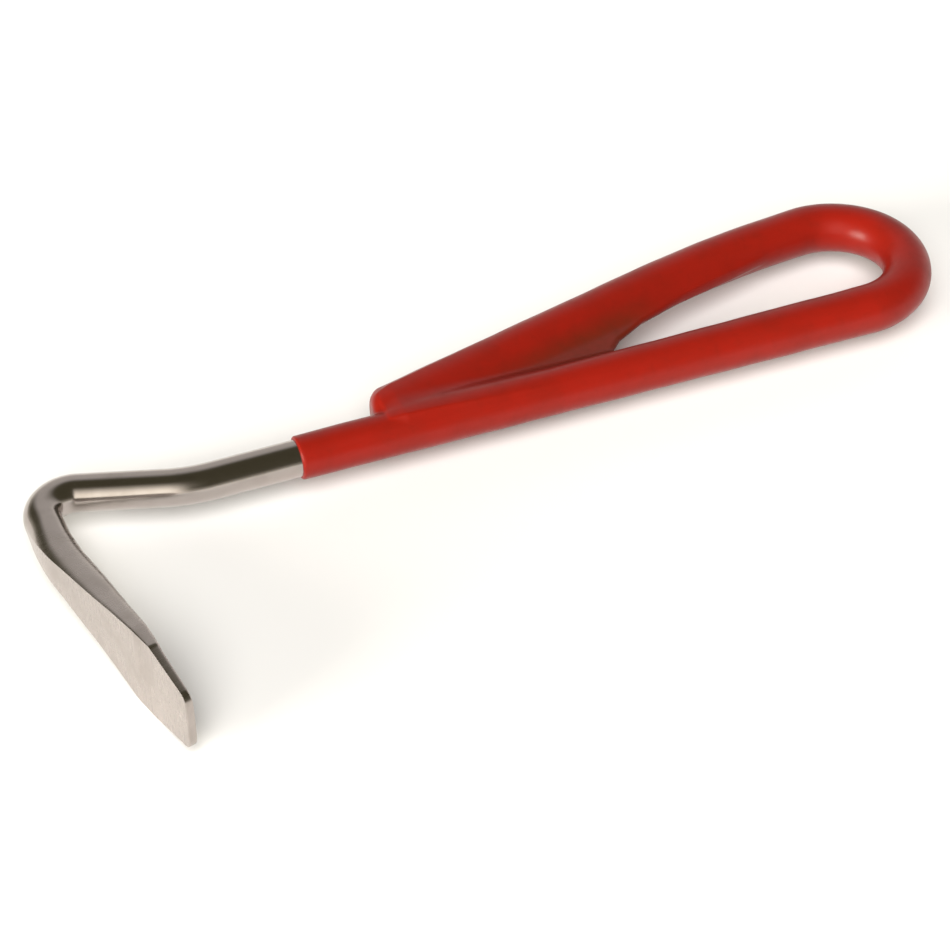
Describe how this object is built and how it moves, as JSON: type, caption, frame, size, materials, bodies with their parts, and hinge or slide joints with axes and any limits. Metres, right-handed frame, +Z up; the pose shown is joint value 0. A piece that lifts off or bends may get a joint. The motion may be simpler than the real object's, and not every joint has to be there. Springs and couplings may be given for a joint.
{
  "type": "hoof pick",
  "caption": "Hoof pick bent from one plated steel rod: chisel-ended hook, straight shank and a closed teardrop loop handle with a dip-coated soft vinyl grip.",
  "frame": {"origin": "middle of the tool's footprint as it lies flat, at the height of its lowest edge (the blade's lower shoulder)", "axes": "+X from the hook towards the loop handle, along the shank; -Y is the way the hook points; +Z up, square to the plane that the rod is bent in"},
  "size_m": [0.169, 0.0836, 0.015],
  "materials": {
    "plated_steel": "bright nickel plate over steel, softly polished, with fine rub marks",
    "red_vinyl": "thick dip-coated soft vinyl, semi-gloss, slightly uneven"
  },
  "bodies": {
    "root": {"steel_rod": "plated_steel", "vinyl_grip": "red_vinyl"}
  },
  "joints": []
}
